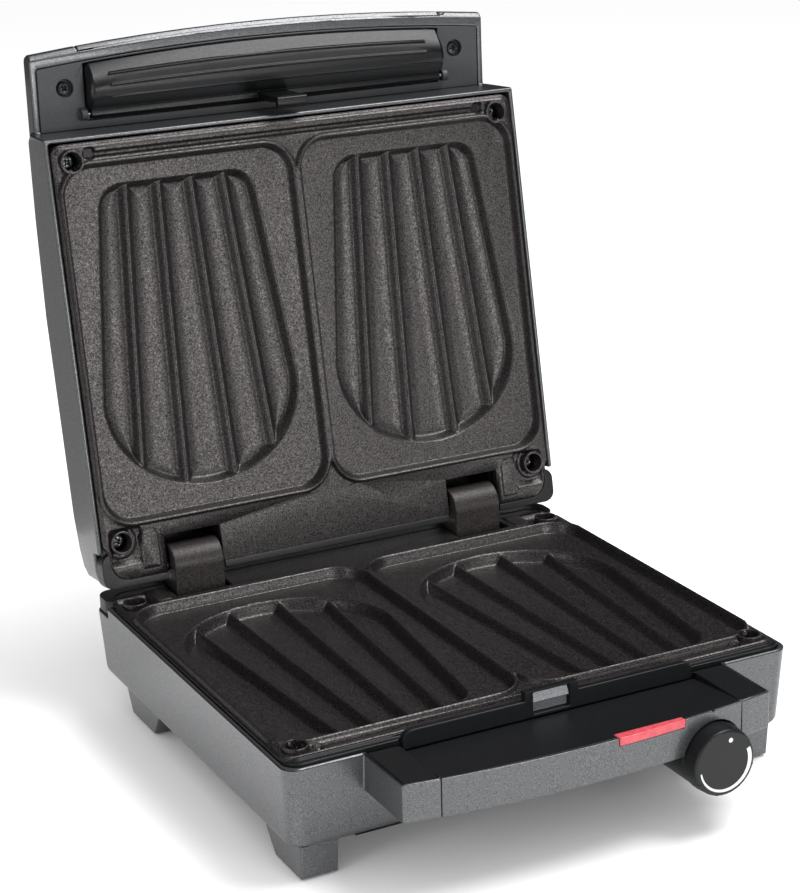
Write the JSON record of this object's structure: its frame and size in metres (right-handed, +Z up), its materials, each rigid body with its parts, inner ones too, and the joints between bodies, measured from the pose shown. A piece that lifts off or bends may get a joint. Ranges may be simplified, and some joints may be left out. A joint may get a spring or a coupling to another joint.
{
  "type": "sandwich toaster",
  "caption": "Sandwich toaster standing open, with hinged lid, shell-shaped toasting hollows, latch lever, front handles, indicator lens and thermostat knob.",
  "frame": {"origin": "on the table, under the middle of the open toaster's overall box", "axes": "+X to the user's right, +Y from the front handle to the hinge, +Z up"},
  "size_m": [0.276, 0.3652, 0.3465],
  "materials": {
    "painted_shell": "metallic gunmetal paint over moulded plastic",
    "black_frame_plastic": "black heat-proof plastic, fine satin",
    "black_satin_plastic": "black moulded plastic, satin",
    "coated_casting": "die-cast aluminium with a dark speckled non-stick coating",
    "hinge_casting": "die-cast arm with the same dark coating",
    "lens": "translucent rose-red moulded plastic",
    "lamp_glass": "small glass lamp",
    "catch_steel": "bent grey steel",
    "ceramic_body": "ceramic and moulded thermostat body",
    "rubber": "black rubber",
    "spring_steel": "spring steel",
    "element_tube": "heat-darkened steel tube",
    "reflector_sheet": "thin bright aluminium sheet",
    "bright_steel": "bright zinc-plated steel",
    "blackened_steel": "blackened steel"
  },
  "bodies": {
    "base": {"base_shell": "painted_shell", "base_frame": "black_frame_plastic", "base_handle_trim": "painted_shell", "base_handle_tray": "black_satin_plastic", "indicator_lens": "lens", "indicator_lamp": "lamp_glass", "lower_plate": "coated_casting", "lower_heating_element": "element_tube", "lower_heat_shield": "reflector_sheet", "lower_plate_screws": "bright_steel", "catch_plate": "catch_steel", "hinge_arm_left": "hinge_casting", "hinge_arm_right": "hinge_casting", "hinge_screws": "bright_steel", "base_screws": "bright_steel", "rubber_feet": "rubber", "cord_gland": "rubber", "thermostat": "ceramic_body", "knob_housing": "black_frame_plastic"},
    "dial": {"thermostat_shaft": "bright_steel", "knob": "black_satin_plastic"},
    "lid": {"lid_shell": "painted_shell", "lid_frame": "black_frame_plastic", "lid_handle_trim": "painted_shell", "lid_handle_panel": "black_satin_plastic", "lid_panel_screws": "blackened_steel", "upper_plate": "coated_casting", "upper_heating_element": "element_tube", "upper_heat_shield": "reflector_sheet", "upper_plate_screws": "bright_steel", "hinge_pins": "bright_steel", "latch_pin": "bright_steel", "latch_spring": "spring_steel"},
    "latch": {"latch_lever": "black_satin_plastic"}
  },
  "joints": [
    {"name": "lid_hinge", "type": "hinge", "parent": "base", "child": "lid", "pos_m": [0, 0.10536, 0.0732], "axis": [1, 0, 0], "range_deg": [0, 101]},
    {"name": "latch_pivot", "type": "hinge", "parent": "lid", "child": "latch", "pos_m": [0, 0.16715, 0.30721], "axis": [-1, 0, 0], "range_deg": [0, 8], "stiffness_Nm_per_rad": 0.4, "springref_deg": -8.59},
    {"name": "knob_turn", "type": "hinge", "parent": "base", "child": "dial", "pos_m": [0.063, -0.17364, 0.037], "axis": [0, -1, 0], "range_deg": [0, 250]}
  ]
}
